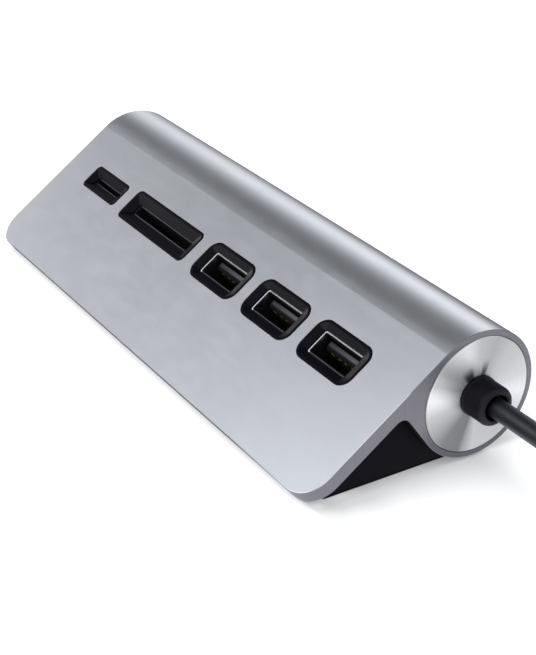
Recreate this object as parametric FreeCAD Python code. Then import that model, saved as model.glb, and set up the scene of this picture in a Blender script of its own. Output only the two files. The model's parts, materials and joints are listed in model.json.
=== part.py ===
import FreeCAD, Part
import math
import os
from FreeCAD import Vector

# A desk hub: a tube with a sloping plate in front of it that carries a micro SD slot,
# an SD slot and three USB sockets. A cable leaves the +X end and runs to a plug.
# Millimetres. +X runs along the body to the cable end, +Y to the back, +Z up.
# Pieces are drawn with the tube's axis at y = 0, and saved with the origin in the
# middle of the front rubber strip's underside, on the resting plane.
# "Plate frame" means x, y up the slope and z out of the plate, 0 at its top face.

os.makedirs("parts", exist_ok=True)

# ---------------------------------------------------------------- body dimensions
BODY_L = 141.0
END_X = BODY_L / 2
TUBE_R = 13.65
WALL = 2.0
SLOPE = 35.8             # degrees
SLOPE_L = 38.3           # front edge to the line where plate meets tube
PLATE_T = 3.25
LIFT = 0.35              # body held off the table by its rubber strips
CORNER_R = 6.4           # plate's two front corners, in plan
INNER_R = 2.1            # fillet between plate underside and web
TOE = 0.5                # bevel under the front edge
EDGE = 0.10              # bevel round the ends and the front edge
NOSE = 0.2               # front edge lies this far in front of the slope's zero line

DISC_R = 12.33           # end disc
DISC_T = 2.5
DISC_BEVEL = 0.12
PROUD = 0.12             # disc stands out of the tube by this much
SPIGOT_R = (10.4, 11.60) # ring behind the disc, inner and outer
SPIGOT_L = 4.0
SEAT_R = 12.45           # counterbore the disc sits in
SEAT_DEPTH = 2.7

SCREW_X = (-54.0, 0.0, 54.0)
SCREW_Y = -7.0
FOOT_L, FOOT_W, FOOT_R = 122.0, 5.8, 2.85
FOOT_TOP = 0.90
FEET = {"front_foot_strip": -31.0, "rear_foot_strip": -8.0}
DATUM_Y = FEET["front_foot_strip"]

# ---------------------------------------------------------------- port dimensions
ROW_Y = 25.95            # port row, measured up the slope
USB_PITCH = 21.50
USB_X = {"left": 4.875, "middle": 4.875 + USB_PITCH, "right": 4.875 + 2 * USB_PITCH}
MICRO_X, SD_X = -51.02, -23.54

# bezel outlines: width, height, corner radius
MICRO_BEZEL = (16.35, 6.46, 1.20)
SD_BEZEL = (30.88, 8.51, 1.50)
USB_BEZEL = (18.04, 10.03, 2.85)
BEZEL_TOP = 0.05         # bezels are all but flush with the plate
BEZEL_ROUND = 0.16       # rounding of their outer edge
BEZEL_GAP = 0.06         # between a bezel and its opening in the plate
RIM = 0.62               # flat lip round each bezel, before it slopes down
FLANGE = 0.8
USB_DIP, CARD_DIP = 0.50, 1.00   # how far the slopes go down to the sockets

USB_W, USB_H, USB_T = 13.1, 5.7, 0.30    # socket shell and its sheet
USB_MOUTH = -0.81
USB_DEPTH = 13.4
USB_END = USB_MOUTH - USB_DEPTH
TONGUE_IN = 1.85         # tip of the tongue, behind the mouth
TONGUE_Y = (ROW_Y + 0.16, ROW_Y + 2.00)
BLOCK_L = 3.4            # block that fills the shell's inner end
SD_GUIDE = (25.2, 2.75, 0.20)            # width, height, sheet
MICRO_GUIDE = (11.7, 1.55, 0.15)
CARD_MOUTH = -1.33
CARD_DEPTH = 14.3

# circuit board, in the plate frame; it stands square to the plate
PCB_X = 64.5             # half its length
PCB_TOP = 23.02          # face that carries the sockets
PCB_UNDER = PCB_TOP - 1.1
PCB_Z = (-16.4, -4.4)
HEADER_X = (56.6, 60.6)
HEADER_MID = sum(HEADER_X) / 2
HEADER_TOP = PCB_TOP + 3.4
HEADER_Z = (-15.4, -6.4)
WIRE_PITCH = 1.28
WIRE_Z = [HEADER_Z[0] + 1.3 + i * WIRE_PITCH for i in range(6)]

# ---------------------------------------------------------------- cable dimensions
CABLE_R = 2.04
GROMMET_R = 4.12
GROMMET_FLANGE_R = 4.25
GROMMET_L = 6.1
NECK_R = 2.95            # grommet where it passes the disc
STRIP_X = 61.5           # jacket is stripped back to here inside the tube
SWING_X, LIFT_X = 81.4, 88.2     # pivots of the cable's two bends
CABLE_GAP = 0.12

PLUG_L, PLUG_W, PLUG_H = 25.0, 11.6, 6.2
PLUG_X, PLUG_Z = 128.0, PLUG_H / 2 + 0.05
GRIP_Y = 74.0            # cable end of the moulded grip
RELIEF_L = 6.0
NOSE_W, NOSE_H, NOSE_L = 8.25, 2.4, 6.5  # metal shell of the plug
NOSE_T = 0.25
NOSE_TAIL = 4.0          # part of the shell inside the grip

# ---------------------------------------------------------------- frames and helpers
SIN, COS = math.sin(math.radians(SLOPE)), math.cos(math.radians(SLOPE))
AXIS_Z = LIFT + TUBE_R
PLATE_Y = -TUBE_R * SIN - SLOPE_L * COS
PLATE_Z = AXIS_Z + TUBE_R * COS - SLOPE_L * SIN
ARC_IN = 1 - math.sqrt(0.5)      # inset of a corner arc's middle, per unit of radius
TINY = 1e-6

# cable centre line from the second pivot to inside the plug's strain relief
CABLE_RUN = [
    Vector(LIFT_X, 0, AXIS_Z), Vector(LIFT_X + 4, 0, AXIS_Z),
    Vector(102.0, 1.0, 12.6), Vector(113.0, 6.6, 7.0),
    Vector(121.5, 16.5, 3.25), Vector(126.6, 30.0, CABLE_R + 0.05),
    Vector(128.2, 44.0, CABLE_R + 0.05), Vector(PLUG_X + 0.05, 56.0, CABLE_R + 0.3),
    Vector(PLUG_X, 65.0, PLUG_Z - 0.12), Vector(PLUG_X, GRIP_Y - 2.0, PLUG_Z)]


def tilted(shape):
    """Move a shape from the plate frame to the body's frame."""
    shape = shape.copy()
    shape.rotate(Vector(0, 0, 0), Vector(1, 0, 0), SLOPE)
    shape.translate(Vector(0, PLATE_Y, PLATE_Z))
    return shape


def tilted_point(y, z):
    """Body-frame (y, z) of a point in the plate frame."""
    return (PLATE_Y + y * COS - z * SIN, PLATE_Z + y * SIN + z * COS)


def box(x0, x1, y0, y1, z0, z1):
    return Part.makeBox(x1 - x0, y1 - y0, z1 - z0, Vector(x0, y0, z0))


def rounded_wire(x, y, width, height, radius, z):
    x0, x1, y0, y1 = x - width / 2, x + width / 2, y - height / 2, y + height / 2
    inset = radius * ARC_IN
    # each row: start and end of a side, then middle and end of the corner after it
    rows = (
        ((x0 + radius, y0), (x1 - radius, y0), (x1 - inset, y0 + inset), (x1, y0 + radius)),
        ((x1, y0 + radius), (x1, y1 - radius), (x1 - inset, y1 - inset), (x1 - radius, y1)),
        ((x1 - radius, y1), (x0 + radius, y1), (x0 + inset, y1 - inset), (x0, y1 - radius)),
        ((x0, y1 - radius), (x0, y0 + radius), (x0 + inset, y0 + inset), (x0 + radius, y0)))
    edges = []
    for row in rows:
        start, end, arc_mid, arc_end = [Vector(*point, z) for point in row]
        edges.append(Part.LineSegment(start, end).toShape())
        edges.append(Part.Arc(end, arc_mid, arc_end).toShape())
    return Part.Wire(edges)


def rounded_box(x, y, width, height, radius, z0, z1):
    face = Part.Face(rounded_wire(x, y, width, height, radius, z0))
    return face.extrude(Vector(0, 0, z1 - z0))


def x_rod(x0, x1, radius, y=0.0, z=AXIS_Z):
    return Part.makeCylinder(radius, x1 - x0, Vector(x0, y, z), Vector(1, 0, 0))


def as_solid(shape):
    return shape if shape.ShapeType == "Solid" else Part.Solid(shape.Shells[0])


def turned(points):
    """Solid of revolution about the tube's axis from (x, radius) points."""
    outline = Part.makePolygon([Vector(x, 0, radius) for x, radius in points + points[:1]])
    solid = as_solid(Part.Face(outline).revolve(Vector(0, 0, 0), Vector(1, 0, 0), 360))
    solid.translate(Vector(0, 0, AXIS_Z))
    return solid


def swept(points, radius):
    """Round bar along a smooth curve through the points."""
    curve = Part.BSplineCurve()
    curve.interpolate(points)
    path = Part.Wire([curve.toShape()])
    direction = curve.tangent(curve.FirstParameter)[0]
    ring = Part.Wire([Part.makeCircle(radius, points[0], direction)])
    return as_solid(path.makePipeShell([ring], True, True))


def largest(shape):
    return max(shape.Solids, key=lambda solid: solid.Volume)


def save(name, *shapes):
    """Write the solids of one piece, leaving out slivers."""
    solids = [solid.translated(Vector(0, -DATUM_Y, 0))
              for shape in shapes for solid in shape.Solids if solid.Volume > 1e-4]
    piece = solids[0] if len(solids) == 1 else Part.makeCompound(solids)
    piece.exportStep("parts/%s.step" % name)


# ---------------------------------------------------------------- body extrusion
def body_skin(grow=0.0):
    """Plate and tube, filled and grown all round, in the plate frame.

    The tube joins the plate's underside through a web whose face stands square
    to the plate and runs down to touch the tube."""
    radius, fillet = TUBE_R + grow, INNER_R - grow
    under = -PLATE_T - grow
    web = SLOPE_L - radius
    front = -NOSE - grow
    diagonal = radius * math.sqrt(0.5)
    inset = fillet * ARC_IN

    def point(y, z):
        return Vector(-END_X, y, z)

    def line(start, end):
        return Part.LineSegment(point(*start), point(*end)).toShape()

    def arc(start, middle, end):
        return Part.Arc(point(*start), point(*middle), point(*end)).toShape()

    edges = [
        line((front, grow), (SLOPE_L, grow)),
        arc((SLOPE_L, grow), (SLOPE_L + diagonal, -TUBE_R - diagonal), (web, -TUBE_R)),
        line((web, -TUBE_R), (web, under - fillet)),
        arc((web, under - fillet), (web - inset, under - inset), (web - fillet, under)),
        line((web - fillet, under), (front + TOE, under)),
        line((front + TOE, under), (front, under + TOE)),
        line((front, under + TOE), (front, grow))]
    return Part.Face(Part.Wire(edges)).extrude(Vector(BODY_L, 0, 0))


def is_front_corner(edge):
    first, last = edge.Vertexes[0].Point, edge.Vertexes[-1].Point
    return (abs(first.y + NOSE) < TINY and abs(last.y + NOSE) < TINY
            and abs(first.x - last.x) < TINY)


def is_bevelled(edge):
    """Top edges at the front and ends, and the tube's outer end edges."""
    bounds = edge.BoundBox
    top = abs(bounds.ZMin) < 1e-5 and abs(bounds.ZMax) < 1e-5
    end = abs(bounds.XMin - bounds.XMax) < 1e-5 and abs(abs(bounds.XMin) - END_X) < 1e-5
    front = bounds.YMax < CORNER_R + 1e-3
    seam = (abs(bounds.YMin - SLOPE_L) < 1e-3 and abs(bounds.YMax - SLOPE_L) < 1e-3
            and not end)
    return (top and (end or front) and not seam) or (end and bounds.YMax > SLOPE_L + 1)


def body_extrusion():
    skin = body_skin()
    skin = skin.makeFillet(CORNER_R, [e for e in skin.Edges if is_front_corner(e)])
    skin = skin.makeChamfer(EDGE, [e for e in skin.Edges if is_bevelled(e)])
    body = skin.cut(x_rod(-END_X - 1, END_X + 1, TUBE_R - WALL, SLOPE_L, -TUBE_R))
    for x in (-END_X - 1, END_X - SEAT_DEPTH):
        body = body.cut(x_rod(x, x + SEAT_DEPTH + 1, SEAT_R, SLOPE_L, -TUBE_R))
    # room under the plate, through the web, for the sockets
    body = body.cut(box(-61, 61, 19.5, 32.2, -17.4, -PLATE_T))
    ports = [(MICRO_X, MICRO_BEZEL), (SD_X, SD_BEZEL)]
    ports += [(x, USB_BEZEL) for x in USB_X.values()]
    for x, (width, height, radius) in ports:
        body = body.cut(rounded_box(x, ROW_Y, width + 2 * BEZEL_GAP, height + 2 * BEZEL_GAP,
                                    radius + BEZEL_GAP, -PLATE_T - 1, 1))
    body = tilted(body)
    for x in SCREW_X:
        body = body.cut(Part.makeCylinder(1.03, 6.0, Vector(x, SCREW_Y, 0)))
    return body


# ---------------------------------------------------------------- end discs
def end_disc(bore_r=0.0):
    """Disc for the +X end, with a ring behind it."""
    face, back = END_X + PROUD, END_X - DISC_T
    ring_in, ring_out = SPIGOT_R
    return turned([
        (back, bore_r), (face, bore_r), (face, DISC_R - DISC_BEVEL),
        (face - DISC_BEVEL, DISC_R), (back, DISC_R), (back, ring_out),
        (back - SPIGOT_L, ring_out), (back - SPIGOT_L, ring_in), (back, ring_in)])


def plain_end_disc():
    disc = end_disc()
    disc.rotate(Vector(0, 0, AXIS_Z), Vector(0, 0, 1), 180)
    return disc


# ---------------------------------------------------------------- base
TRAY_X = END_X - 2.72    # tray stops short of each end
TRAY_FLOOR = 1.3
TRAY_WALL = 1.5
TRAY_GAP = 0.06          # between tray and body
RIB_X = (-38.9, -6.4, 16.0, 37.4)
RIB_T = 1.2
RIB_TOP = -4.4           # in the plate frame
FOOT_GAP = 0.15          # round a strip in its groove
SINK_Z = FOOT_TOP + 0.02 # groove roof and start of the countersinks


def tray_block():
    """The wedge between plate, tube and table, still solid."""
    outline = [(-37.35, LIFT), (-3.2, LIFT), (-3.2, 9.0),
               tilted_point(27.0, -1.4), tilted_point(0.8, -1.4)]     # (y, z)
    wire = Part.makePolygon([Vector(-TRAY_X, *point) for point in outline + outline[:1]])
    block = Part.Face(wire).extrude(Vector(2 * TRAY_X, 0, 0))
    block = block.cut(tilted(body_skin(TRAY_GAP)))
    # follow the plate's rounded front corners
    plan = rounded_box(0, 31.2, 2 * TRAY_X, 60.0, 5.0, -30, 5)
    return largest(block.common(tilted(plan)))


def tray_rib(block, x):
    """Cross rib, kept in front of and beneath the board."""
    rib = block.common(box(x - RIB_T / 2, x + RIB_T / 2, -60, 20, LIFT + 0.5, 40))
    before = tilted(box(x - 2, x + 2, -5, PCB_UNDER - 0.06, -30, RIB_TOP))
    beneath = tilted(box(x - 2, x + 2, -5, 40, -30, PCB_Z[0] - 0.1))
    return rib.common(before.fuse(beneath))


def tray_boss(block, x):
    boss = Part.makeCylinder(2.6, 8.0, Vector(x, SCREW_Y, LIFT + 0.3)).common(block)
    return boss.cut(tilted(box(-80, 80, 15, 50, PCB_Z[0] - 0.2, 5)))


def base_tray():
    block = tray_block()
    inner_x = TRAY_X - TRAY_WALL
    tray = block.cut(box(-inner_x, inner_x, -60, 20, LIFT + TRAY_FLOOR, 40))
    for x in RIB_X:
        tray = tray.fuse(tray_rib(block, x))
    for x in SCREW_X:
        tray = tray.fuse(tray_boss(block, x))
    tray = tray.cut(tilted(box(-PCB_X - 0.1, PCB_X + 0.1, PCB_UNDER - 0.05, PCB_TOP + 0.05,
                               PCB_Z[0] - 0.05, PCB_Z[1] + 0.05)))
    for y in FEET.values():
        tray = tray.cut(rounded_box(0, y, FOOT_L + 2 * FOOT_GAP, FOOT_W + 2 * FOOT_GAP,
                                    FOOT_R + FOOT_GAP, LIFT - 0.5, SINK_Z))
    for x in SCREW_X:
        tray = tray.cut(Part.makeCylinder(1.12, 9.0, Vector(x, SCREW_Y, 0)))
        tray = tray.cut(Part.makeCone(1.80, 1.12, 0.76, Vector(x, SCREW_Y, SINK_Z)))
    return largest(tray.removeSplitter())


def foot_strip(y):
    foot = rounded_box(0, y, FOOT_L, FOOT_W, FOOT_R, 0.0, FOOT_TOP)
    return foot.makeFillet(0.22, [e for e in foot.Edges if abs(e.BoundBox.ZMax) < TINY])


def base_screw(x):
    """Countersunk screw, head down, with a cross slot."""
    z = FOOT_TOP + 0.06
    reach, half_slot = 0.9, 0.18
    head = Part.makeCone(1.70, 1.00, 0.70, Vector(x, SCREW_Y, z))
    screw = head.fuse(Part.makeCylinder(1.00, 3.3, Vector(x, SCREW_Y, z)))
    for half_x, half_y in ((reach, half_slot), (half_slot, reach)):
        screw = screw.cut(box(x - half_x, x + half_x, SCREW_Y - half_y, SCREW_Y + half_y,
                              z - 1, z + 0.4))
    return screw.removeSplitter()


# ---------------------------------------------------------------- port bezels
def bezel(x, outline, throat, dip):
    """Flat lip, then four slopes running down to the throat round the socket."""
    width, height, radius = outline
    bottom = -PLATE_T - 0.9
    body = rounded_box(x, ROW_Y, width, height, radius, bottom, BEZEL_TOP)
    lip = [e for e in body.Edges if abs(e.BoundBox.ZMin - BEZEL_TOP) < TINY]
    body = body.makeFillet(BEZEL_ROUND, lip)
    body = body.fuse(rounded_box(x, ROW_Y, width + 2 * FLANGE, height + 2 * FLANGE,
                                 radius + FLANGE, bottom, -PLATE_T - 0.05))
    mouth = (width - 2 * RIM, height - 2 * RIM, max(radius - RIM, 0.45))
    # the slopes carry on a hair above the lip, so that the cut is clean
    overshoot = 0.001
    share = overshoot / (dip + BEZEL_TOP)
    above = [m + (m - t) * share for m, t in zip(mouth, throat)]
    funnel = Part.makeLoft([rounded_wire(x, ROW_Y, *throat, -dip),
                            rounded_wire(x, ROW_Y, *above, BEZEL_TOP + overshoot)], True)
    body = body.cut(funnel)
    body = body.cut(rounded_box(x, ROW_Y, *throat, -PLATE_T - 2, -dip + overshoot))
    return tilted(body.removeSplitter())


def card_bezel(x, outline, guide, throat_r):
    return bezel(x, outline, (guide[0] + 0.12, guide[1] + 0.12, throat_r), CARD_DIP)


# ---------------------------------------------------------------- USB sockets
def usb_shell(x):
    shell = rounded_box(x, ROW_Y, USB_W, USB_H, 0.5, USB_END, USB_MOUTH)
    shell = shell.cut(rounded_box(x, ROW_Y, USB_W - 2 * USB_T, USB_H - 2 * USB_T, 0.22,
                                  USB_END - 1, USB_MOUTH + 1))
    # spring fingers, two in each wide wall, cut free on three sides
    for middle in (x - 3.0, x + 3.0):
        for side in (-1, 1):
            y = ROW_Y + side * (USB_H / 2 - USB_T / 2)
            window = box(middle - 1.25, middle + 1.25, y - 0.4, y + 0.4,
                         USB_MOUTH - 9.0, USB_MOUTH - 4.6)
            finger = box(middle - 0.9, middle + 0.9, y - 0.5, y + 0.5,
                         USB_MOUTH - 8.65, USB_MOUTH - 4.0)
            shell = shell.cut(window.cut(finger))
    return tilted(shell)


def bare_tongue(x):
    low, high = TONGUE_Y
    tip = USB_MOUTH - TONGUE_IN
    tongue = box(x - 5.55, x + 5.55, low, high, USB_END + 3.0, tip)
    for y, size in ((high, 0.18), (low, 0.66)):
        tongue = tongue.makeChamfer(size, [
            e for e in tongue.Edges if abs(e.BoundBox.ZMin - tip) < TINY
            and abs(e.BoundBox.YMin - y) < TINY and abs(e.BoundBox.YMax - y) < TINY])
    # round the two short sides of the tip
    return tongue.makeFillet(0.35, [
        e for e in tongue.Edges if abs(e.BoundBox.XMin - e.BoundBox.XMax) < TINY
        and e.BoundBox.YMax < high - 0.1 and e.BoundBox.YMin > low + 0.5
        and e.BoundBox.ZMin > tip - TINY])


def usb_core(x):
    """Tongue on its block, and the contacts let into it."""
    low, high = TONGUE_Y
    tip = USB_MOUTH - TONGUE_IN
    root = USB_END + BLOCK_L
    block = rounded_box(x, ROW_Y, USB_W - 2 * USB_T - 0.06, USB_H - 2 * USB_T - 0.06, 0.18,
                        USB_END + 0.05, root)
    core = block.fuse(bare_tongue(x))
    contacts = []
    # four long contacts on the tongue's downslope face
    for middle in (x - 3.5, x - 1.0, x + 1.0, x + 3.5):
        core = core.cut(box(middle - 0.55, middle + 0.55, low - 1, low + 0.12,
                            root, tip - 0.95))
        contacts.append(box(middle - 0.5, middle + 0.5, low - 0.06, low + 0.10,
                            root + 0.02, tip - 1.0))
    # five short ones at the root of its upslope face
    for i in range(5):
        middle = x - 4.0 + 2.0 * i
        core = core.cut(box(middle - 0.42, middle + 0.42, high - 0.12, high + 1,
                            root, root + 4.0))
        contacts.append(box(middle - 0.38, middle + 0.38, high - 0.10, high + 0.04,
                            root + 0.02, root + 3.96))
    return tilted(core.removeSplitter()), [tilted(contact) for contact in contacts]


# ---------------------------------------------------------------- card sockets
CARD_END = CARD_MOUTH - CARD_DEPTH


def card_guide(x, width, height, sheet):
    guide = rounded_box(x, ROW_Y, width, height, 0.3, CARD_END, CARD_MOUTH)
    return tilted(guide.cut(rounded_box(x, ROW_Y, width - 2 * sheet, height - 2 * sheet, 0.12,
                                        CARD_END - 1, CARD_MOUTH + 1)))


def card_housing(x, width, height, sheet):
    top = -PLATE_T - 0.96
    y0, y1 = PCB_TOP + 0.03, ROW_Y + height / 2 + 0.9
    inner, outer = width / 2 + 0.06, width / 2 + 0.95
    housing = box(x - outer, x + outer, y0, y1, CARD_END + 0.05, top)
    housing = housing.cut(rounded_box(x, ROW_Y, width + 0.1, height + 0.1, 0.35,
                                      CARD_END - 1, top + 1))
    # strips that join the sides to the base
    for x0, x1 in ((x - outer, x - inner), (x + inner, x + outer)):
        housing = housing.fuse(box(x0, x1, y0, y1, CARD_END - 0.1, CARD_END + 0.2))
    base = box(x - outer, x + outer, y0, y1, CARD_END - 0.85, CARD_END - 0.03)
    stop = rounded_box(x, ROW_Y, width - 2 * sheet - 0.06, height - 2 * sheet - 0.06, 0.1,
                       CARD_END + 0.05, CARD_END + 1.6)
    half_neck = height / 2 - sheet - 0.2
    neck = box(x - 2, x + 2, ROW_Y - half_neck, ROW_Y + half_neck,
               CARD_END - 0.2, CARD_END + 0.2)
    housing = housing.fuse(base).fuse(stop).fuse(neck)
    return tilted(housing.removeSplitter())


def card_contacts(x, height, sheet, count, width, length):
    y = ROW_Y - height / 2 + sheet + 0.03
    z = CARD_END + 1.66
    contacts = []
    for i in range(count):
        middle = x + (i - (count - 1) / 2) * width * 1.75
        contacts.append(tilted(box(middle - width / 2, middle + width / 2, y, y + 0.18,
                                   z, z + length)))
    return contacts


# ---------------------------------------------------------------- circuit board
CHIP_Y = PCB_UNDER - 0.02        # parts hang on the face away from the sockets
HUB_X, HUB_Z, HUB_T = 26.7, -10.0, 0.9
# x, z of each capacitor
CAPACITORS = (
    (3, -6.2), (6, -6.2), (19.2, -8), (19.2, -12), (33.6, -7.0), (33.6, -10.5),
    (44, -6.2), (47, -6.2), (-13, -7), (-13, -11), (-45, -8), (-50, -8))


def chip(x, z, width, height, thickness):
    return box(x - width / 2, x + width / 2, CHIP_Y - thickness, CHIP_Y,
               z - height / 2, z + height / 2)


def hub_chip():
    """Chip with a round dimple near one corner."""
    dimple = Part.makeCylinder(0.35, 0.3, Vector(HUB_X - 3.0, CHIP_Y - HUB_T + 0.2, HUB_Z + 2.8),
                               Vector(0, -1, 0))
    return tilted(chip(HUB_X, HUB_Z, 8.0, 8.0, HUB_T).cut(dimple))


def wire_header():
    header = box(*HEADER_X, PCB_TOP + 0.02, HEADER_TOP, *HEADER_Z)
    for z in WIRE_Z:
        header = header.cut(box(HEADER_MID - 1.2, HEADER_MID + 1.2, HEADER_TOP - 1.0,
                                HEADER_TOP + 1, z - 0.5, z + 0.5))
    return tilted(header)


def inner_wire(index):
    """Insulated wire from the stripped jacket to its place in the header."""
    angle = math.radians(60 * index + 10)
    start = Vector(STRIP_X - 0.1, 1.35 * math.cos(angle), AXIS_Z + 1.35 * math.sin(angle))
    seat_y = HEADER_TOP - 0.9
    end = Vector(HEADER_MID, *tilted_point(seat_y, WIRE_Z[index]))
    above = Vector(HEADER_MID, *tilted_point(seat_y + 2.6, WIRE_Z[index]))
    middle = Vector((start.x + above.x) / 2 - 0.6, start.y * 0.45 + above.y * 0.55,
                    start.z * 0.45 + above.z * 0.55)
    return swept([start, Vector(start.x - 1.0, start.y, start.z), middle, above, end], 0.36)


# ---------------------------------------------------------------- cable
def grommet():
    inner = END_X - DISC_T - 0.05
    outer = END_X + PROUD + 0.05
    tip = END_X + GROMMET_L
    bore = CABLE_R + 0.05
    return turned([
        (inner - 2.4, bore), (inner - 2.4, 3.9), (inner - 2.1, GROMMET_R), (inner, GROMMET_R),
        (inner, NECK_R), (outer, NECK_R), (outer, GROMMET_FLANGE_R),
        (END_X + 0.80, GROMMET_FLANGE_R), (END_X + 0.95, GROMMET_R - 0.16),
        (END_X + 1.12, GROMMET_R), (tip - 0.95, GROMMET_R), (tip - 0.55, GROMMET_R - 0.14),
        (tip - 0.2, GROMMET_R - 0.46), (tip, GROMMET_R - 0.95), (tip - 0.12, 2.80),
        (tip - 1.6, 2.50), (tip - 2.0, bore)])


def clamp_ring():
    x0, x1 = 62.4, 65.2
    inner, outer = CABLE_R + 0.04, CABLE_R + 0.75
    return turned([(x0, inner), (x1, inner), (x1, outer), (x0, outer)])


def cable_bend():
    """Short link between the two pivots, round at the first."""
    link = x_rod(SWING_X, LIFT_X - CABLE_R - CABLE_GAP, CABLE_R)
    return link.fuse(Part.makeSphere(CABLE_R, Vector(SWING_X, 0, AXIS_Z))).removeSplitter()


def cable_run():
    run = swept(CABLE_RUN, CABLE_R)
    return run.fuse(Part.makeSphere(CABLE_R, CABLE_RUN[0])).removeSplitter()


# ---------------------------------------------------------------- plug
def to_plug(shape, y):
    """Turn a shape drawn along +Z at x = PLUG_X to point along +Y, starting at y."""
    shape = shape.copy()
    shape.rotate(Vector(PLUG_X, 0, 0), Vector(1, 0, 0), -90)
    shape.translate(Vector(0, y, PLUG_Z))
    return shape


def to_nose(shape):
    return to_plug(shape, GRIP_Y + PLUG_L)


def plug_relief():
    """Tapered sleeve with three grooves, bored along the cable's path."""
    along = Vector(0, 1, 0)
    relief = Part.makeCone(CABLE_R + 0.55, CABLE_R + 0.95, RELIEF_L,
                           Vector(PLUG_X, GRIP_Y - RELIEF_L, PLUG_Z), along)
    for i in range(3):
        start = Vector(PLUG_X, GRIP_Y - 5.0 + i * 1.7, PLUG_Z)
        relief = relief.cut(Part.makeCylinder(5, 0.7, start, along).cut(
            Part.makeCylinder(CABLE_R + 0.35, 0.7, start, along)))
    return largest(relief.cut(swept(CABLE_RUN, CABLE_R + 0.05)))


def plug_grip():
    grip = rounded_box(PLUG_X, 0, PLUG_W, PLUG_H, 2.9, 0, PLUG_L)
    ends = [e for e in grip.Edges if abs(e.BoundBox.ZMin - e.BoundBox.ZMax) < TINY]
    grip = to_plug(grip.makeFillet(0.7, ends), GRIP_Y)
    return grip.cut(to_nose(rounded_box(PLUG_X, 0, NOSE_W + 0.08, NOSE_H + 0.08, NOSE_H / 2,
                                        -NOSE_TAIL - 0.05, NOSE_L)))


def plug_shell():
    width, height = NOSE_W - 2 * NOSE_T, NOSE_H - 2 * NOSE_T
    shell = rounded_box(PLUG_X, 0, NOSE_W, NOSE_H, NOSE_H / 2 - 0.01, -NOSE_TAIL, NOSE_L)
    return to_nose(shell.cut(rounded_box(PLUG_X, 0, width, height, height / 2 - 0.01,
                                         -NOSE_TAIL - 1, NOSE_L + 1)))


def plug_carrier():
    width, height = NOSE_W - 2 * NOSE_T - 0.06, NOSE_H - 2 * NOSE_T - 0.06
    carrier = rounded_box(PLUG_X, 0, width, height, height / 2 - 0.01,
                          -NOSE_TAIL + 0.05, NOSE_L - 0.4)
    return to_nose(carrier.cut(rounded_box(PLUG_X, 0, 6.9, 0.9, 0.3, 0.9, NOSE_L + 1)))


def plug_contacts():
    """Two facing rows of twelve."""
    contacts = []
    for i in range(12):
        x = PLUG_X - 2.75 + 0.5 * i
        for y0, y1 in ((-0.43, -0.30), (0.30, 0.43)):
            contacts.append(to_nose(box(x - 0.12, x + 0.12, y0, y1, 1.2, NOSE_L - 0.9)))
    return contacts


# ---------------------------------------------------------------- build
save("body_extrusion", body_extrusion())
save("cable_end_disc", end_disc(NECK_R + 0.05))
save("plain_end_disc", plain_end_disc())
save("base_tray", base_tray())
for name, y in FEET.items():
    save(name, foot_strip(y))
save("base_screws", *[base_screw(x) for x in SCREW_X])

save("micro_sd_bezel", card_bezel(MICRO_X, MICRO_BEZEL, MICRO_GUIDE, 0.3))
save("sd_bezel", card_bezel(SD_X, SD_BEZEL, SD_GUIDE, 0.4))
for place, x in USB_X.items():
    save("usb_bezel_" + place, bezel(x, USB_BEZEL, (USB_W + 0.14, USB_H + 0.14, 0.55), USB_DIP))
    save("usb_shell_" + place, usb_shell(x))
    core, contacts = usb_core(x)
    save("usb_tongue_" + place, core)
    save("usb_contacts_" + place, *contacts)

# name, x, guide, then count, width and length of the contacts
for name, x, guide, pins in (("sd_socket", SD_X, SD_GUIDE, (9, 1.3, 5.0)),
                             ("micro_sd_socket", MICRO_X, MICRO_GUIDE, (8, 0.62, 4.0))):
    save(name + "_guide", card_guide(x, *guide))
    save(name + "_housing", card_housing(x, *guide))
    save(name + "_contacts", *card_contacts(x, *guide[1:], *pins))

save("main_board", tilted(box(-PCB_X, PCB_X, PCB_UNDER, PCB_TOP, *PCB_Z)))
save("hub_chip", hub_chip())
save("card_reader_chip", tilted(chip(-30.0, -10.0, 6.0, 6.0, 0.9)))
save("crystals", *[tilted(chip(x, -9.4, 3.2, 2.5, 0.8)) for x in (11.5, -20.5)])
save("capacitors", *[tilted(chip(x, z, 1.6, 0.8, 0.8)) for x, z in CAPACITORS])
save("power_inductors", *[tilted(chip(x, -10.5, 4.0, 4.0, 1.9)) for x in (48.0, 55.0)])
save("wire_header", wire_header())
save("inner_wires", *[inner_wire(i) for i in range(len(WIRE_Z))])

save("cable_entry", x_rod(STRIP_X, SWING_X - CABLE_R - CABLE_GAP, CABLE_R))
save("strain_relief_grommet", grommet())
save("cable_clamp_ring", clamp_ring())
save("cable_bend", cable_bend())
save("cable_run", cable_run())
save("plug_strain_relief", plug_relief())
save("plug_grip", plug_grip())
save("plug_shell", plug_shell())
save("plug_contact_carrier", plug_carrier())
save("plug_contacts", *plug_contacts())
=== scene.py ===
"""Looks of a port hub: a sloping anodised plate with a round tube along its back, and a cable.

X runs along the tube, with the cable leaving at the +X end. -Y is the front, +Y the back and
+Z is up. The plate climbs from its front edge to the tube. Sizes are in millimetres unless a
comment says metres; shader positions are in metres, measured from the line under the tube axis.
"""

import json
import math

import bpy
import numpy as np
from mathutils import Matrix, Vector


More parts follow.
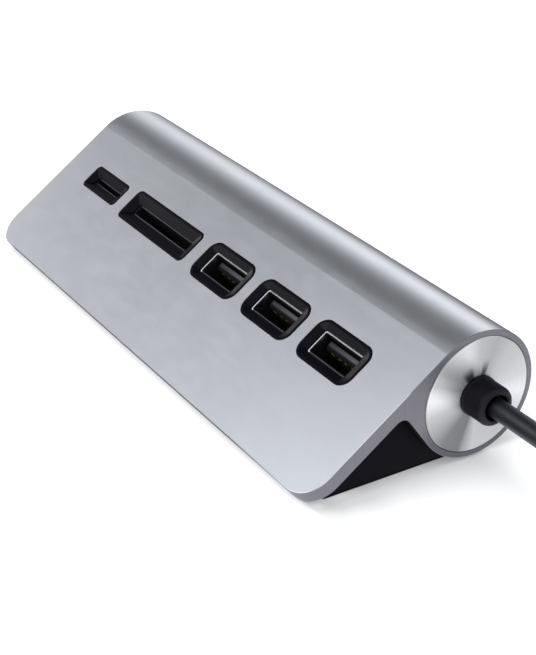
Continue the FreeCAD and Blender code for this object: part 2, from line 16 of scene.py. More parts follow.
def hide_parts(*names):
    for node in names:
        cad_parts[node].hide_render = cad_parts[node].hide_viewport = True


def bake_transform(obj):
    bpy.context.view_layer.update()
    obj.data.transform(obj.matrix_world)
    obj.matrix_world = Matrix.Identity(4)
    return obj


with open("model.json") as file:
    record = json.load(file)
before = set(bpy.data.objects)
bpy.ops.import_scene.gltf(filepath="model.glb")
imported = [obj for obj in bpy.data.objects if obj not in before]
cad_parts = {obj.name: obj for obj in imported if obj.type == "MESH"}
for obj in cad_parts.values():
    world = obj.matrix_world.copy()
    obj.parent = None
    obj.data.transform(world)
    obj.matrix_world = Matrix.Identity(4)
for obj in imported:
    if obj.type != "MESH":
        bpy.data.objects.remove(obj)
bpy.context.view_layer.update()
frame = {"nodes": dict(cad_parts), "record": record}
MM = 0.001

# ---------------------------------------------------------------- dimensions shared with the CAD
TUBE_R = 13.65
TUBE_LIFT = 0.35                  # gap between tube and floor
AXIS_Z = TUBE_LIFT + TUBE_R
AXIS_Y = 31.0                     # tube axis behind the middle of the front rubber strip
PLATE_ANGLE = math.radians(35.8)
PLATE_RUN = 38.3                  # up the slope, from the front edge to where plate meets tube
SIN, COS = math.sin(PLATE_ANGLE), math.cos(PLATE_ANGLE)
EDGE_Y = -TUBE_R * SIN - PLATE_RUN * COS          # front edge of the plate, from the axis line
EDGE_Z = AXIS_Z + TUBE_R * COS - PLATE_RUN * SIN
PORT_X, PORT_PITCH = 4.875, 21.50
PORT_ROW = 25.95                  # middle of the port row, up the slope
CABLE_R = 2.04
SHIFT = Vector((0.0, AXIS_Y * MM, 0.0))

# directions
ALONG = (1, 0, 0)
PLATE_NORMAL = (0, -SIN, COS)
UPSLOPE = (0, COS, SIN)
DOWNSLOPE = (0, -COS, -SIN)


# ---------------------------------------------------------------- shader building
class Signal:
    """An output socket; arithmetic, ramps and mixes of it add nodes to its tree."""

    def __init__(self, tree, socket):
        self.tree = tree
        self.socket = socket

    def math(self, operation, second=0.0, third=0.0):
        return self.tree.math(operation, self, second, third)

    def __add__(self, other):
        return self.math("ADD", other)

    def __sub__(self, other):
        return self.math("SUBTRACT", other)

    def __rsub__(self, other):
        return self.tree.math("SUBTRACT", other, self)

    def __mul__(self, other):
        return self.math("MULTIPLY", other)

    def __abs__(self):
        return self.math("ABSOLUTE")

    def larger(self, other):
        return self.math("MAXIMUM", other)

    def multiply_add(self, factor, addend):
        return self.math("MULTIPLY_ADD", factor, addend)

    def vector(self, operation, other=(0, 0, 0), output="Vector"):
        return self.tree.add("VectorMath", self, other, output=output,
                             settings={"operation": operation})

    def dot(self, direction):
        return self.vector("DOT_PRODUCT", direction, output="Value")

    def stretch(self, factors):
        return self.vector("MULTIPLY", factors)

    def scale(self, factor):
        return self.tree.add("VectorMath", self, output="Vector",
                             settings={"operation": "SCALE"}, Scale=factor)

    def split(self):
        node = self.tree.node("SeparateXYZ", self)
        return [Signal(self.tree, socket) for socket in node.outputs]

    def ramp(self, start, end, low=0.0, high=1.0):
        """Smooth change from low to high as the signal goes from start to end."""
        settings = {"interpolation_type": "SMOOTHSTEP", "clamp": True}
        limits = {"From Min": start, "From Max": end, "To Min": low, "To Max": high}
        return self.tree.add("MapRange", settings=settings, Value=self, **limits)

    def mix(self, colour_at_0, colour_at_1):
        unused = [None] * 5
        return self.tree.add("Mix", self, *unused, colour_at_0, colour_at_1, output=2,
                             settings={"data_type": "RGBA"})

    def blend(self, value_at_0, value_at_1):
        return self.tree.add("Mix", self, None, value_at_0, value_at_1,
                             settings={"data_type": "FLOAT"})

    def noise(self, scale, detail=2.0, roughness=0.5):
        return self.tree.add("TexNoise", Vector=self, Scale=scale, Detail=detail,
                             Roughness=roughness)

    def line_noise(self, scale, detail, roughness=0.5):
        """Noise of a single number."""
        return self.tree.add("TexNoise", settings={"noise_dimensions": "1D"}, W=self,
                             Scale=scale, Detail=detail, Roughness=roughness)

    def bump(self, strength, distance, **inputs):
        return self.tree.add("Bump", Strength=strength, Distance=distance, Height=self, **inputs)

    def colour_stops(self, stops, interpolation):
        """Colour ramp through (position, colour) stops."""
        node = self.tree.node("ValToRGB", self)
        ramp = node.color_ramp
        ramp.interpolation = interpolation
        while len(ramp.elements) < len(stops):
            ramp.elements.new(0.5)
        for element, (position, colour) in zip(ramp.elements, stops):
            element.position = position
            element.color = (*colour, 1)
        return Signal(self.tree, node.outputs[0])


class Tree:
    """A node tree, emptied and ready to be filled."""

    def __init__(self, data):
        self.data = data
        data.nodes.clear()

    def put(self, socket, value):
        if isinstance(value, Signal):
            self.data.links.new(value.socket, socket)
        elif socket.type == "RGBA" and len(value) == 3:
            socket.default_value = (*value, 1.0)
        else:
            socket.default_value = value

    def node(self, kind, *values, settings=None, **inputs):
        """Add a node; values fill its inputs in order (None skips one), inputs go by name."""
        node = self.data.nodes.new("ShaderNode" + kind)
        for key, value in (settings or {}).items():
            setattr(node, key, value)
        for socket, value in zip(node.inputs, values):
            if value is not None:
                self.put(socket, value)
        for key, value in inputs.items():
            self.put(node.inputs[key.replace("_", " ")], value)
        return node

    def add(self, kind, *values, output=0, **inputs):
        return Signal(self, self.node(kind, *values, **inputs).outputs[output])

    def math(self, operation, first, second=0.0, third=0.0):
        return self.add("Math", first, second, third, settings={"operation": operation})


class Surface(Tree):
    """A material with one principled shader."""

    def __init__(self, name):
        self.material = bpy.data.materials.new(name)
        self.material.use_nodes = True
        super().__init__(self.material.node_tree)
        self.shader = self.node("BsdfPrincipled")
        self.node("OutputMaterial", Signal(self, self.shader.outputs[0]))
        coordinates = self.add("TexCoord", output="Object")
        self.position = coordinates.vector("SUBTRACT", tuple(SHIFT))

    def facing(self):
        return self.add("NewGeometry", output="True Normal")

    def plate_height(self):
        """Height square to the plate's top, metres."""
        return self.position.dot(PLATE_NORMAL) + -(-EDGE_Y * SIN + EDGE_Z * COS) * MM

    def slope_position(self, start=0.0):
        """Distance up the slope from start, metres."""
        return self.position.dot(UPSLOPE) + -(EDGE_Y * COS + EDGE_Z * SIN + start) * MM

    def port_offset(self):
        """X from the middle of the nearest port, metres."""
        x = self.position.split()[0]
        wrapped = (x + (-PORT_X + 5.5 * PORT_PITCH) * MM).math("MODULO", PORT_PITCH * MM)
        return wrapped - 0.5 * PORT_PITCH * MM

    def from_axis(self):
        """Vector out from the tube axis."""
        centred = self.position.vector("SUBTRACT", (0, 0, AXIS_Z * MM))
        return centred.stretch((0.0, 1.0, 1.0))

    def finish(self, **inputs):
        for key, value in inputs.items():
            self.put(self.shader.inputs[key.replace("_", " ")], value)
        return self.material


# ---------------------------------------------------------------- aluminium
def anodised_aluminium():
    """Blasted faces, bright cut bevels, darker sawn walls; painted shade on the undersides, the
    recess below the plate, the tube's back and the lower part of its end.
    """
    tree = Surface("anodised_aluminium_blasted")
    position, facing = tree.position, tree.facing()
    endwise = abs(facing.dot(ALONG))
    upward = facing.dot(PLATE_NORMAL)
    slope = tree.slope_position()
    height = tree.plate_height()

    # thin bevels round the plate and at the tube ends
    plate_bevel = (upward.ramp(start=0.42, end=0.52) * upward.ramp(start=0.94, end=0.88)
                   * slope.ramp(start=0.0290, end=0.0270))
    tube_bevel = (endwise.ramp(start=0.45, end=0.6) * endwise.ramp(start=0.94, end=0.84)
                  * slope.ramp(start=0.0270, end=0.0290))
    # walls square to the plate or facing the ends, the underside, and below the plate
    wall = endwise.ramp(start=0.95, end=0.985).larger(
        upward.ramp(start=0.45, end=0.36) * slope.ramp(start=0.0345, end=0.0325))
    under = upward.ramp(start=-0.3, end=-0.6) * slope.ramp(start=0.0345, end=0.0325)
    inside = (height.ramp(start=-0.0031, end=-0.0034) * slope.ramp(start=0.0270, end=0.0250)
              * endwise.ramp(start=0.7, end=0.5))

    grain = position.noise(scale=3400.0, detail=3.0, roughness=0.62)
    coarse = position.noise(scale=900.0)
    cloud = position.noise(scale=55.0, detail=3.0)
    scuff = position.stretch((0.35, 1.0, 1.0)).noise(scale=420.0, detail=4.0, roughness=0.65)
    tool_marks = position.stretch((1.0, 1.0, 0.12)).noise(scale=2600.0)

    face_colour = cloud.ramp(start=0.3, end=0.7).mix((0.622, 0.643, 0.684), (0.648, 0.668, 0.708))
    sparkle = grain.ramp(start=0.35, end=0.75) * 0.16
    face_colour = sparkle.mix(face_colour, (0.80, 0.81, 0.84))
    # painted shade: faces leaning back, along the tube's back, are painted darker
    backward = facing.dot((0, 1, 0))
    back_painted_shade = backward.ramp(start=0.34, end=0.52) * backward.ramp(start=0.85, end=0.65)
    face_colour = back_painted_shade.mix(face_colour, (0.46, 0.47, 0.49))

    shadow_colour = (0.100, 0.098, 0.112)
    wall_colour = tool_marks.ramp(start=0.3, end=0.7).mix((0.237, 0.231, 0.261),
                                                          (0.253, 0.247, 0.277))
    # painted shade on the underside and in the recess below the plate
    wall_colour = under.larger(inside).mix(wall_colour, shadow_colour)
    # painted shade: the lower part of the tube's end ring turns away from the light, so it and its
    # bevel are painted darker
    outward = tree.from_axis()
    radius = outward.vector("LENGTH", output="Value")
    rise = outward.dot((0, 0, 1)).math("DIVIDE", radius)
    turned_away = rise.ramp(start=-0.15, end=-0.75) * radius.ramp(start=0.01405, end=0.01368)
    low_ring = turned_away * endwise.ramp(start=0.95, end=0.985)
    wall_colour = (low_ring * 0.78).mix(wall_colour, shadow_colour)

    colour = wall.larger(inside).mix(face_colour, wall_colour)
    # painted shade on the lower part of the tube-end bevel
    colour = tube_bevel.mix(colour, turned_away.mix((0.34, 0.335, 0.37), (0.060, 0.060, 0.068)))
    colour = plate_bevel.mix(colour, (0.95, 0.96, 0.97))
    bevel = plate_bevel.larger(tube_bevel)
    roughness = scuff.ramp(start=0.35, end=0.75).blend(0.285, 0.315) + (coarse - 0.5) * 0.04
    roughness = wall.blend(roughness, 0.46)
    roughness = bevel.blend(roughness, 0.24)
    relief = grain * 0.6 + coarse * 0.4
    return tree.finish(
        Base_Color=colour, Metallic=1.0, Roughness=roughness,
        Normal=relief.bump(strength=bevel.blend(0.10, 0.02), distance=0.00003))


# (angle in degrees from +Z towards +Y, painted reflectance): painted reflection, the light and
# dark sectors that reflections make on the turned face
PAINTED_REFLECTION_SECTORS = [
    (0, 0.64), (20, 0.52), (40, 0.60), (60, 0.64), (80, 0.73), (100, 0.96), (118, 0.84),
    (135, 0.68), (160, 0.70), (182, 0.68), (194, 0.42), (200, 0.24), (222, 0.25), (240, 0.44),
    (260, 0.62), (278, 1.0), (287, 1.0), (296, 0.84), (304, 1.0), (318, 1.0), (332, 1.0),
    (342, 1.0), (352, 0.82), (360, 0.64),
]


def turned_aluminium():
    """Faced on a lathe: fine rings, so that reflections spread along the radius; its light and
    dark sectors and two streaks are painted reflection, and its rim carries painted shade.
    """
    tree = Surface("turned_aluminium_spun")
    outward = tree.from_axis()
    radius = outward.vector("LENGTH", output="Value")
    radial = outward.vector("NORMALIZE")
    endwise = abs(tree.facing().dot(ALONG))
    rim = endwise.ramp(start=0.3, end=0.5) * endwise.ramp(start=0.95, end=0.85)
    fine_rings = radius.line_noise(scale=7200.0, detail=3.0, roughness=0.7)
    wide_rings = radius.line_noise(scale=1300.0, detail=2.0)
    rings = fine_rings * 0.55 + wide_rings * 0.45

    _, y, z = outward.split()
    turn = (y.math("ARCTAN2", z) * (1.0 / (2 * math.pi)) + 1.0).math("FRACT")
    stops = [(angle / 360.0, (value * 0.985, value * 0.99, value * 1.02))
             for angle, value in PAINTED_REFLECTION_SECTORS]
    sectors = turn.colour_stops(stops, "LINEAR")
    colour = rings.ramp(start=0.32, end=0.72).mix(sectors.scale(0.97), sectors.scale(1.03))

    # painted reflection: two thin dark streaks where the grommet is mirrored in the rings
    back_streak = (radial.dot((0, 0.2334, 0.9724)).ramp(start=0.9877, end=0.9992)
                   * radius.ramp(start=0.0080, end=0.0048, high=0.75))
    front_streak = (radial.dot((0, -0.4462, 0.8949)).ramp(start=0.9640, end=0.9950)
                    * radius.ramp(start=0.0074, end=0.0049, high=0.85))
    colour = colour.scale((1.0 - back_streak) * (1.0 - front_streak))
    # painted shade: the rim is darker on its front side
    back_side = radial.dot((0, 1, 0)).ramp(start=-0.45, end=-0.05)
    colour = rim.mix(colour, back_side.mix((0.40, 0.40, 0.42), (0.94, 0.945, 0.96)))
    return tree.finish(
        Base_Color=colour, Metallic=1.0, Anisotropic=rim.blend(0.80, 0.0), Tangent=radial,
        Roughness=rim.blend(rings.ramp(start=0.3, end=0.7).blend(0.40, 0.46), 0.18),
        Normal=rings.bump(strength=0.10, distance=0.00002))


# ---------------------------------------------------------------- plastics and rubber
def moulded_finish(tree, colours, roughness, grain_scale, bump):
    """Set a moulded grain and its sheen; return the mottled colour."""
    grain = tree.position.noise(scale=grain_scale, detail=3.0, roughness=0.6)
    cloud = tree.position.noise(scale=140.0, detail=3.0)
    rub = tree.position.noise(scale=520.0, detail=4.0, roughness=0.7)
    worn = rub.ramp(start=0.35, end=0.7).blend(roughness, roughness + 0.07)
    tree.finish(Roughness=worn + (grain - 0.5) * 0.10,
                Normal=grain.bump(strength=bump, distance=0.00004))
    return cloud.ramp(start=0.3, end=0.7).mix(*colours)


def plastic(name, base, roughness, grain=2600.0, bump=0.12, tint=0.006, specular=0.5):
    """Plain moulding; its lighter patches are brighter than the base by the tint."""
    tree = Surface(name)
    lighter = tuple(channel + tint for channel in base)
    colour = moulded_finish(tree, (base, lighter), roughness, grain, bump)
    return tree.finish(Base_Color=colour, Metallic=0.0, Specular_IOR_Level=specular)


def grommet_rubber():
    """Matt rubber, with painted light making the +X ring a little greyer and glossier than the
    barrel.
    """
    tree = Surface("grommet_rubber_matt")
    ring = tree.facing().dot(ALONG).ramp(start=0.15, end=0.85)
    tones = (0.0026, 0.0018, 0.0052), (0.0036, 0.0028, 0.0062)
    colour = moulded_finish(tree, tones, roughness=0.50, grain_scale=2300.0, bump=0.14)
    # painted light: the +X ring lighter than the barrel
    return tree.finish(Base_Color=ring.mix(colour, (0.0100, 0.0090, 0.0145)),
                       Specular_IOR_Level=ring.blend(0.13, 0.24))


def bezel_plastic():
    """Satin moulding; slopes facing the light take more sheen than the flat lip."""
    tree = Surface("bezel_plastic_satin")
    facing = tree.facing()
    downward, leftward = facing.dot(DOWNSLOPE), facing.dot((-1, 0, 0))
    tones = (0.0008, 0.0008, 0.0034), (0.0013, 0.0013, 0.0042)
    colour = moulded_finish(tree, tones, roughness=0.34, grain_scale=3000.0, bump=0.08)
    sheen = downward.ramp(start=0.04, end=0.14, low=0.055, high=0.125).larger(
        leftward.ramp(start=0.04, end=0.20, low=0.055, high=0.150))
    return tree.finish(Base_Color=colour, Specular_IOR_Level=sheen)


def tongue_plastic():
    """Moulded port tongue: satin top, with painted shade on its left part and on the chamfer under
    it.
    """
    tree = Surface("tongue_plastic_moulded")
    facing = tree.facing()
    downward, upward = facing.dot(DOWNSLOPE), facing.dot(PLATE_NORMAL)
    offset = tree.port_offset()
    grain = tree.position.noise(scale=2200.0, detail=3.0, roughness=0.6)
    row = tree.slope_position(PORT_ROW)
    # painted shade on the chamfer under the tongue, its side faces and its lower part
    dark = (downward.ramp(start=0.2, end=0.5).larger(upward.ramp(start=0.5, end=0.2))
            .larger(row.ramp(start=0.00114, end=0.00100)))
    # painted shade: darker towards the left, where the port's wall shades it
    colour = offset.ramp(start=-0.0050, end=0.0055).mix((0.040, 0.038, 0.046),
                                                        (0.105, 0.107, 0.116))
    colour = dark.mix(colour, (0.006, 0.006, 0.007))
    flecks = grain.ramp(start=0.4, end=0.8) * 0.25
    return tree.finish(Base_Color=flecks.mix(colour, (0.05, 0.05, 0.055)), Roughness=0.42,
                       Specular_IOR_Level=0.25,
                       Normal=grain.bump(strength=0.08, distance=0.00003))


def wire_insulation():
    """Insulated wires, each separate island taking one of six colours."""
    tree = Surface("wire_insulation_coloured")
    colours = [(0.50, 0.03, 0.02), (0.02, 0.02, 0.02), (0.03, 0.25, 0.06),
               (0.75, 0.75, 0.72), (0.03, 0.08, 0.42), (0.65, 0.42, 0.02)]
    island = tree.add("NewGeometry", output="Random Per Island")
    stops = [(i / 6.0, colour) for i, colour in enumerate(colours)]
    colour = island.colour_stops(stops, "CONSTANT")
    grain = tree.position.noise(scale=1600.0)
    return tree.finish(Base_Color=colour, Roughness=grain.blend(0.32, 0.46),
                       Normal=grain.bump(strength=0.08, distance=0.00003))


def cable_jacket():
    """Smooth elastomer, with painted shade darkening it where it is still within the tube's end.
    """
    tree = Surface("cable_jacket_elastomer")
    position = tree.position
    grain = position.noise(scale=2600.0, detail=3.0, roughness=0.6)
    wave = position.stretch((1.0, 1.0, 1.0)).noise(scale=210.0)
    cloud = position.noise(scale=90.0, detail=3.0)
    # painted shade: darker and less glossy until the cable is clear of the tube's end
    outside = position.split()[0].ramp(start=0.0745, end=0.0815)
    colour = cloud.ramp(start=0.3, end=0.7).mix((0.0034, 0.0060, 0.0088),
                                                (0.0052, 0.0082, 0.0115))
    return tree.finish(
        Base_Color=outside.mix((0.0015, 0.0022, 0.0035), colour),
        Roughness=wave.ramp(start=0.3, end=0.7).blend(0.36, 0.44) + (grain - 0.5) * 0.10,
        Specular_IOR_Level=outside.blend(0.28, 0.50), Sheen_Weight=0.02, Sheen_Roughness=0.4,
        Normal=(grain * 0.5 + wave).bump(strength=0.10, distance=0.00006))


# ---------------------------------------------------------------- other metals and the board
def metal(name, base, roughness, stretch=(1, 1, 1), scale=1800.0):
    """Plain metal with darker patches."""
    tree = Surface(name)
    streaks = tree.position.stretch(stretch).noise(scale=scale, detail=3.0, roughness=0.6)
    cloud = tree.position.noise(scale=260.0, detail=3.0)
    darker = tuple(channel * 0.82 for channel in base)
    return tree.finish(
        Base_Color=cloud.ramp(start=0.3, end=0.75).mix(darker, base), Metallic=1.0,
        Roughness=streaks.ramp(start=0.3, end=0.7).blend(roughness, roughness + 0.10),
        Normal=streaks.bump(strength=0.08, distance=0.00002))


def shell_steel():
    """Plated port shell: bright on the rolled lip, dull further in; painted shade darkens it
    further in and on the lip's front, left and right sides.
    """
    tree = Surface("shell_steel_plated")
    height, row = tree.plate_height(), tree.slope_position(PORT_ROW)
    offset = tree.port_offset()
    geometry = tree.node("NewGeometry")
    upward = Signal(tree, geometry.outputs["True Normal"]).dot(PLATE_NORMAL)
    lip = upward.ramp(start=0.8, end=0.95) * height.ramp(start=-0.0012, end=-0.0010)
    left_lip = offset.ramp(start=-0.0058, end=-0.0062) * lip
    front_lip = row.ramp(start=-0.0022, end=-0.0025) * lip
    streaks = tree.position.stretch((0.2, 1.0, 1.0)).noise(scale=2400.0, detail=3.0, roughness=0.6)
    cloud = tree.position.noise(scale=260.0, detail=3.0)

    colour = cloud.ramp(start=0.3, end=0.75).mix((0.62, 0.62, 0.64), (0.71, 0.71, 0.73))
    # painted shade: darker further in
    colour = height.ramp(start=-0.0011, end=-0.0016).mix(colour, (0.130, 0.122, 0.125))
    # painted light and shade on the lip: dark at the front, mid-grey on the left, darkest on the
    # right
    colour = (front_lip * (1.0 - left_lip)).mix(colour, (0.10, 0.10, 0.11))
    colour = left_lip.mix(colour, (0.43, 0.43, 0.45))
    right_lip = offset.ramp(start=0.0058, end=0.0062) * lip
    colour = right_lip.mix(colour, (0.045, 0.045, 0.050))

    # the left lip's normal leans towards +X
    lean = tree.add("CombineXYZ", left_lip * 0.42)
    leaning = Signal(tree, geometry.outputs["Normal"]).vector("ADD", lean).vector("NORMALIZE")
    sheen = streaks.ramp(start=0.3, end=0.7).blend(0.20, 0.28)
    return tree.finish(
        Base_Color=colour, Metallic=1.0,
        Roughness=height.ramp(start=-0.0011, end=-0.0016).blend(sheen, 0.42),
        Normal=streaks.bump(strength=0.06, distance=0.00002, Normal=leaning))


def board_laminate():
    """Green solder mask with faint copper tracks under it."""
    tree = Surface("board_solder_mask")
    level = tree.add("VectorRotate", settings={"rotation_type": "X_AXIS"},
                     Vector=tree.position, Angle=-PLATE_ANGLE)
    x, _, z = level.split()
    track = tree.add("TexBrick", output="Fac", settings={"offset": 0.35, "squash": 1.0},
                     Vector=tree.add("CombineXYZ", x, z), Scale=1.0, Mortar_Size=0.00022,
                     Brick_Width=0.0065, Row_Height=0.0011)
    grain = tree.position.noise(scale=900.0)
    return tree.finish(
        Base_Color=track.mix((0.012, 0.075, 0.040), (0.030, 0.150, 0.075)),
        Roughness=grain.blend(0.28, 0.40), Coat_Weight=0.4, Coat_Roughness=0.2,
        Normal=(track + grain * 0.2).bump(strength=0.25, distance=0.00003))


# ---------------------------------------------------------------- materials by slot
MATERIALS = {
    "anodised_aluminium": anodised_aluminium(),
    "turned_aluminium": turned_aluminium(),
    "tray_plastic": plastic("tray_plastic_textured", base=(0.0010, 0.0006, 0.0038),
                            roughness=0.48, grain=1900.0, bump=0.20, tint=0.0005,
                            specular=0.06),
    "bezel_plastic": bezel_plastic(),
    "foot_rubber": plastic("foot_rubber_matt", base=(0.020, 0.020, 0.022), roughness=0.62,
                           grain=1500.0, bump=0.25, specular=0.35),
    "screw_steel": metal("screw_steel_blackened", base=(0.24, 0.24, 0.25), roughness=0.36),
    "shell_steel": shell_steel(),
    "tongue_plastic": tongue_plastic(),
    "contact_gold": metal("contact_gold_flashed", base=(0.34, 0.25, 0.11), roughness=0.34),
    "socket_plastic": plastic("socket_plastic_moulded", base=(0.018, 0.018, 0.020),
                              roughness=0.42, grain=2200.0),
    "board_laminate": board_laminate(),
    "chip_epoxy": plastic("chip_epoxy_moulded", base=(0.020, 0.020, 0.021), roughness=0.46,
                          grain=3200.0, bump=0.18, tint=0.008),
    "ceramic": plastic("ceramic_capacitor_body", base=(0.36, 0.25, 0.16), roughness=0.38,
                       bump=0.10, tint=0.05),
    "inductor_ferrite": plastic("inductor_ferrite_sintered", base=(0.075, 0.075, 0.078),
                                roughness=0.50, bump=0.25, tint=0.03),
    "header_nylon": plastic("header_nylon_natural", base=(0.66, 0.63, 0.55), roughness=0.40,
                            grain=1800.0, bump=0.08, tint=0.04),
    "cable_jacket": cable_jacket(),
    "grommet_rubber": grommet_rubber(),
    "wire_insulation": wire_insulation(),
    "plug_plastic": plastic("plug_plastic_satin", base=(0.0120, 0.0130, 0.0155),
                            roughness=0.38, bump=0.10, tint=0.004),
    "card_guide_steel": metal("card_guide_steel_dulled", base=(0.150, 0.145, 0.170),
                              roughness=0.34, stretch=(0.2, 1.0, 1.0), scale=2400.0),
}


def assign_materials():
    slot_of = {part["node"]: part["material_slot"] for part in frame["record"]["subparts"]}
    slot_of["sd_socket_guide"] = slot_of["micro_sd_socket_guide"] = "card_guide_steel"
    for name, piece in frame["nodes"].items():
        material = MATERIALS[slot_of[name]]
        if not piece.material_slots:
            piece.data.materials.append(material)
        for slot in piece.material_slots:
            slot.material = material


assign_materials()

# ---------------------------------------------------------------- cable in two pieces, along the tube axis and down to the floor
NECK_START_X = 61.5
SEAM_X = 84.8                     # where the neck piece meets the free piece
LIFT_X = 88.2                     # where the cable leaves the tube axis
CABLE_SIDES = 56
RUN_STEP = 0.55
# x, y, z from the line under the tube axis: out of the tube, down to the floor and away back
RUN = [
    (LIFT_X, 0, AXIS_Z), (LIFT_X + 4, 0, AXIS_Z), (102.0, 1.0, 12.6), (113.0, 6.6, 7.0),
    (121.5, 16.5, 3.25), (126.6, 30.0, CABLE_R + 0.05), (128.2, 44.0, CABLE_R + 0.05),
    (128.05, 56.0, CABLE_R + 0.3), (128.0, 65.0, 3.03), (128.0, 72.0, 3.15),
]


def spline(points, step):
    """Natural cubic spline with chord-length spacing, resampled about every step."""
    points = np.array(points, float)
    chords = np.linalg.norm(np.diff(points, axis=0), axis=1)
    knots = np.r_[0, np.cumsum(chords)]
    gaps = np.diff(knots)
    count = len(points)
    system = np.zeros((count, count))
    target = np.zeros((count, 3))
    system[0, 0] = system[-1, -1] = 1
    for i in range(1, count - 1):
        system[i, i - 1:i + 2] = gaps[i - 1], 2 * (gaps[i - 1] + gaps[i]), gaps[i]
        target[i] = 6 * ((points[i + 1] - points[i]) / gaps[i]
                         - (points[i] - points[i - 1]) / gaps[i - 1])
    second = np.linalg.solve(system, target)      # second derivatives at the knots
    samples = np.linspace(0, knots[-1], max(2, int(round(knots[-1] / step)) + 1))
    path = []
    for sample in samples:
        i = min(count - 2, max(0, int(np.searchsorted(knots, sample, "right") - 1)))
        gap, ahead, behind = gaps[i], knots[i + 1] - sample, sample - knots[i]
        path.append(second[i] * ahead ** 3 / (6 * gap)
                    + second[i + 1] * behind ** 3 / (6 * gap)
                    + (points[i] / gap - second[i] * gap / 6) * ahead
                    + (points[i + 1] / gap - second[i + 1] * gap / 6) * behind)
    return np.array(path)


def cable_piece(name, path):
    """Closed round tube along a path, its rings carried along without twist."""
    tangents = np.gradient(path, axis=0)
    tangents /= np.linalg.norm(tangents, axis=1)[:, None]
    side = np.cross(tangents[0], [0, 0, 1.0])
    side /= np.linalg.norm(side)
    verts, faces = [], []
    for point, tangent in zip(path, tangents):
        side = side - tangent * (side @ tangent)
        side /= np.linalg.norm(side)
        across = np.cross(tangent, side)
        for k in range(CABLE_SIDES):
            angle = 2 * math.pi * k / CABLE_SIDES
            spoke = CABLE_R * (math.cos(angle) * side + math.sin(angle) * across)
            verts.append(tuple((point + (0, AXIS_Y, 0) + spoke) * MM))
    last = (len(path) - 1) * CABLE_SIDES
    for ring in range(0, last, CABLE_SIDES):
        for k in range(CABLE_SIDES):
            here, beside = ring + k, ring + (k + 1) % CABLE_SIDES
            faces.append((here, beside, beside + CABLE_SIDES, here + CABLE_SIDES))
    faces.append(tuple(range(CABLE_SIDES - 1, -1, -1)))
    faces.append(tuple(last + k for k in range(CABLE_SIDES)))

    mesh = bpy.data.meshes.new(name)
    mesh.from_pydata(verts, [], faces)
    mesh.validate()
    mesh.update()
    piece = bpy.data.objects.new(name, mesh)
    bpy.context.scene.collection.objects.link(piece)
    mesh.materials.append(MATERIALS["cable_jacket"])
    mesh.polygons.foreach_set("use_smooth", [True] * len(mesh.polygons))
    mesh.set_sharp_from_angle(angle=math.radians(32.0))
    return piece


def straight(start_x, end_x, count):
    """Evenly spaced path points on the tube axis."""
    return np.array([(x, 0.0, AXIS_Z) for x in np.linspace(start_x, end_x, count)])


neck = cable_piece("cable_jacket_neck", straight(NECK_START_X, SEAM_X, 64))
free = cable_piece("cable_jacket_free",
                   np.vstack([straight(SEAM_X, LIFT_X, 12)[:-1], spline(RUN, RUN_STEP)]))
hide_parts("cable_entry", "cable_bend")
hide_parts("cable_run")
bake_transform(neck)
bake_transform(free)

# ---------------------------------------------------------------- floor
LIGHT_COLOUR = (0.975, 0.985, 1.0)


def floor_material():
    """White paper with a faint glow, painted black under the hub with painted light and shade
    patches around it; reflections see a glow painted brighter towards +X.
    """
    material = bpy.data.materials.new("studio_floor")
    material.use_nodes = True
    tree = Tree(material.node_tree)
    position = tree.add("TexCoord", output="Object")
    cloud = position.noise(scale=30.0, detail=3.0)
    x, y, _ = position.split()

    # painted shade and light patches, in metres: painted shade under the hub, painted light before
    # it and behind its +X end, and painted light and painted shade either side of that end's front
    # corner
    under_hub_painted_shade = abs(x).ramp(start=0.06785, end=0.06750) * (
        y.ramp(start=-0.0026, end=-0.0018) * y.ramp(start=0.0285, end=0.0270))
    # painted light before the hub
    front = y.ramp(start=-0.0048, end=-0.0068) * (
        y.ramp(start=-0.0150, end=-0.0095) * x.ramp(start=0.078, end=0.068))
    # painted light behind the +X end
    back = (y.ramp(start=0.0310, end=0.0400) * x.ramp(start=0.0685, end=0.0715)) * (
        y.ramp(start=0.0700, end=0.0550) * x.ramp(start=0.1000, end=0.0850))
    # painted light and painted shade either side of the +X end's front corner
    corner_painted_light = x.ramp(start=0.0707, end=0.0684) * (
        y.ramp(start=0.0075, end=-0.0010) * y.ramp(start=-0.0058, end=-0.0040))
    corner_painted_shade = (x.ramp(start=0.0704, end=0.0722) * x.ramp(start=0.0790, end=0.0750)) * (
        y.ramp(start=0.0120, end=0.0040) * y.ramp(start=-0.0062, end=-0.0040))
    # painted shadow round that corner
    corner = position.vector("DISTANCE", (0.0708, -0.0045, 0.0), output="Value")
    shade = corner.ramp(start=0.0070, end=0.0, high=0.18)

    glow = back.multiply_add(factor=0.20, addend=front.multiply_add(factor=0.21, addend=0.18))
    glow = corner_painted_light.multiply_add(factor=0.26, addend=corner_painted_shade.multiply_add(factor=-0.11, addend=glow))
    paper = cloud.mix((0.86, 0.86, 0.86), (0.88, 0.88, 0.88))
    diffuse = tree.add("BsdfDiffuse", Color=under_hub_painted_shade.mix(paper, (0.02, 0.02, 0.02)))
    emission = tree.add("Emission", Color=(0.98, 0.99, 1.0),
                        Strength=(1.0 - under_hub_painted_shade) * (glow - shade).larger(0.0))
    seen = tree.add("AddShader", diffuse, emission)
    # painted reflection: reflections see the floor glow brighter towards +X
    mirrored = tree.add("Emission", Color=LIGHT_COLOUR,
                        Strength=x.ramp(start=0.036, end=0.068, low=0.22, high=1.12))
    glossy_ray = tree.add("LightPath", output="Is Glossy Ray")
    tree.node("OutputMaterial", tree.add("MixShader", glossy_ray, seen, mirrored))
    return material


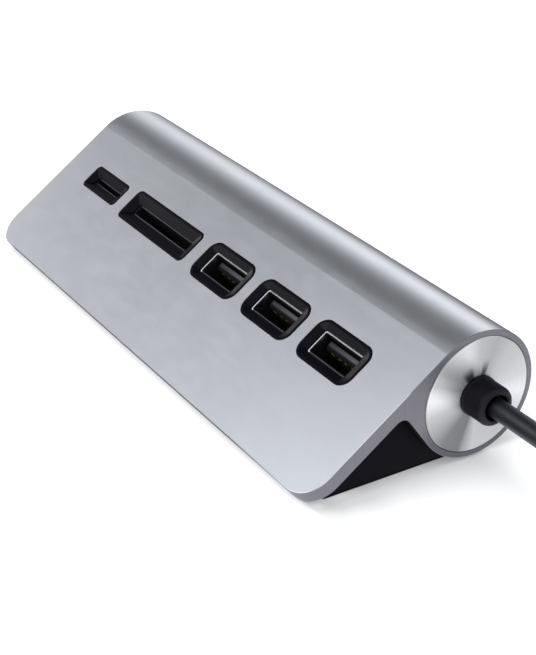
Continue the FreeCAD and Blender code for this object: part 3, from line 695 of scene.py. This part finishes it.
def build_floor():
    half, height = 6, -0.0001     # metres
    corners = [(-half, -half), (half, -half), (half, half), (-half, half)]
    material = floor_material()
    mesh = bpy.data.meshes.new("floor")
    mesh.from_pydata([(x, y, height) for x, y in corners], [], [(0, 1, 2, 3)])
    floor = bpy.data.objects.new("floor", mesh)
    mesh.materials.append(material)
    bpy.context.scene.collection.objects.link(floor)


build_floor()

# ---------------------------------------------------------------- light: a soft room in the world
ROOM_LOW, ROOM_HIGH = 0.16, 0.60  # diffuse light near the horizon and overhead
KEY_DIRECTION, KEY_TIGHTNESS, KEY_STRENGTH = (-0.15, -0.22, 0.93), 6.0, 2.50
BASE_STRENGTH = 0.02              # between the patches
BACKDROP_STRENGTH = 0.97          # as the camera sees it
# soft patches seen in reflections: direction, tightness, strength
PATCHES = [
    ((-0.641, -0.764, 0.070), 30.0, 0.29), ((-0.864, -0.499, 0.070), 30.0, 0.52),
    ((-0.982, -0.173, 0.070), 30.0, 2.87), ((-0.864, 0.499, 0.070), 30.0, 0.19),
    ((-0.641, 0.764, 0.070), 30.0, 0.11), ((-0.925, -0.163, 0.342), 30.0, 0.24),
    ((-0.814, 0.470, 0.342), 30.0, 0.92), ((-0.604, 0.720, 0.342), 30.0, 1.17),
    ((0.0, -0.809, 0.588), 10.0, 3.09), ((-0.520, -0.620, 0.588), 30.0, 2.24),
    ((-0.396, -0.472, 0.788), 30.0, 0.66), ((-0.606, 0.107, 0.788), 30.0, 0.18),
    ((0.750, -0.250, 0.610), 6.0, 0.75), ((0.550, 0.750, 0.360), 8.0, 0.80),
]


def lobe(view, direction, tightness):
    """Glow that is 1 along the direction and fades away from it."""
    closeness = view.dot(tuple(Vector(direction).normalized()))
    return closeness.multiply_add(tightness, -tightness).math("EXPONENT")


def build_world():
    world = bpy.data.worlds.new("studio")
    bpy.context.scene.world = world
    world.use_nodes = True
    tree = Tree(world.node_tree)
    view = tree.add("TexCoord", output="Generated")
    reflected = BASE_STRENGTH
    for direction, tightness, strength in PATCHES:
        reflected = lobe(view, direction, tightness).multiply_add(strength, reflected)
    ray = tree.node("LightPath")
    rise = view.split()[2]
    ambient = rise.ramp(start=-0.1, end=0.9, low=ROOM_LOW, high=ROOM_HIGH)
    room = lobe(view, KEY_DIRECTION, KEY_TIGHTNESS).multiply_add(KEY_STRENGTH, ambient)
    strength = Signal(tree, ray.outputs["Is Diffuse Ray"]).blend(reflected, room)
    strength = Signal(tree, ray.outputs["Is Camera Ray"]).blend(strength, BACKDROP_STRENGTH)
    background = tree.add("Background", Color=LIGHT_COLOUR, Strength=strength)
    tree.node("OutputWorld", background)


build_world()

# ---------------------------------------------------------------- camera
CAMERA_PLACE = (263.9268, -169.7811, 162.3690)    # from the line under the tube axis
CAMERA_RIGHT = Vector((0.5304839863, 0.8476566796, 0.0080556688))
CAMERA_DOWN = Vector((0.3995825653, -0.2416647892, -0.8842691350))
CAMERA_FORWARD = Vector((-0.7476098674, 0.4723095205, -0.4669081312))


def build_camera():
    lens = bpy.data.cameras.new("camera")
    lens.sensor_fit = "VERTICAL"
    lens.sensor_height = 36.0
    lens.lens = 84.2121344
    lens.clip_start = 0.01
    camera = bpy.data.objects.new("camera", lens)
    scene = bpy.context.scene
    scene.collection.objects.link(camera)
    rotation = Matrix((CAMERA_RIGHT, -CAMERA_DOWN, -CAMERA_FORWARD)).transposed()
    place = Matrix.Translation(Vector(CAMERA_PLACE) * MM + SHIFT)
    camera.matrix_world = place @ rotation.to_4x4()
    scene.camera = camera
    scene.view_settings.view_transform = "Standard"
    scene.view_settings.look = "None"


build_camera()
